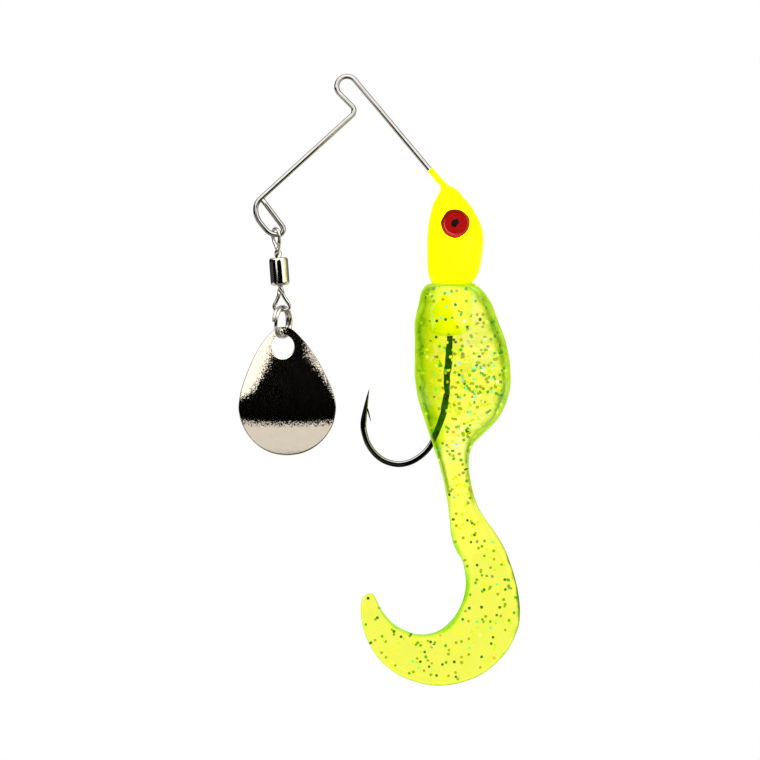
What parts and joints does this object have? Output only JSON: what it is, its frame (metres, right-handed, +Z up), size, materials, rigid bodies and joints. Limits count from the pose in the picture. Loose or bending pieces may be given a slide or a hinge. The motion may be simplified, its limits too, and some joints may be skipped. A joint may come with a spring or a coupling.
{
  "type": "spinnerbait",
  "caption": "Safety-pin spinnerbait: bent wire form, painted lead head with a hook, soft curl-tail grub, and a domed blade on a swivel and split ring.",
  "frame": {"origin": "inner apex of the R-bend in the wire form, where the line is tied", "axes": "+Z up towards the line tie with the lure hanging from it, +X from the blade side towards the hook shank and head, +Y to the far side, square to the plane of the wire form"},
  "size_m": [0.0366, 0.0092, 0.0795],
  "materials": {
    "wire_steel": "polished",
    "hook_steel": "polished",
    "head_paint": "gloss",
    "eye_red": "gloss",
    "pupil_black": "gloss",
    "grub_plastic": "gloss",
    "swivel_barrel_metal": "polished",
    "swivel_wire": "polished",
    "blade_nickel": "polished"
  },
  "bodies": {
    "lure_head": {"wire_head_leg": "wire_steel", "head": "head_paint", "hook": "hook_steel", "eye_left": "eye_red", "eye_right": "eye_red", "pupil_left": "pupil_black", "pupil_right": "pupil_black", "grub_body": "grub_plastic"},
    "blade_arm": {"wire_blade_arm": "wire_steel"},
    "upper_eye": {"swivel_upper_eye": "swivel_wire"},
    "barrel": {"swivel_barrel": "swivel_barrel_metal"},
    "lower_eye": {"swivel_lower_eye": "swivel_wire"},
    "ring": {"split_ring": "swivel_wire"},
    "blade": {"spinner_blade": "blade_nickel"},
    "tail": {"grub_tail": "grub_plastic"}
  },
  "joints": [
    {"name": "arm_flex", "type": "hinge", "parent": "lure_head", "child": "blade_arm", "pos_m": [0, 0, -0.001], "axis": [0, -1, 0], "range_deg": [-12, 3], "stiffness_Nm_per_rad": 0.1},
    {"name": "swivel_swing", "type": "hinge", "parent": "blade_arm", "child": "upper_eye", "pos_m": [-0.00905, 0, -0.02007], "axis": [1, 0, 0], "range_deg": [-55, 55]},
    {"name": "barrel_spin", "type": "hinge", "parent": "upper_eye", "child": "barrel", "pos_m": [-0.00893, 0, -0.02322], "axis": [0.0713, 0, -0.9975], "continuous": true},
    {"name": "lower_eye_spin", "type": "hinge", "parent": "barrel", "child": "lower_eye", "pos_m": [-0.00893, 0, -0.02322], "axis": [0.0713, 0, -0.9975], "continuous": true},
    {"name": "ring_swing", "type": "hinge", "parent": "lower_eye", "child": "ring", "pos_m": [-0.00844, 0, -0.03008], "axis": [0.9975, 0, 0.0713], "range_deg": [-45, 45]},
    {"name": "blade_swing", "type": "hinge", "parent": "ring", "child": "blade", "pos_m": [-0.0084, 0, -0.0336], "axis": [0.4226, 0.9063, 0], "range_deg": [-15, 45]},
    {"name": "tail_flap", "type": "hinge", "parent": "lure_head", "child": "tail", "pos_m": [0.0141, 0, -0.05108], "axis": [1, 0, 0], "range_deg": [-35, 35], "stiffness_Nm_per_rad": 0.00008}
  ]
}
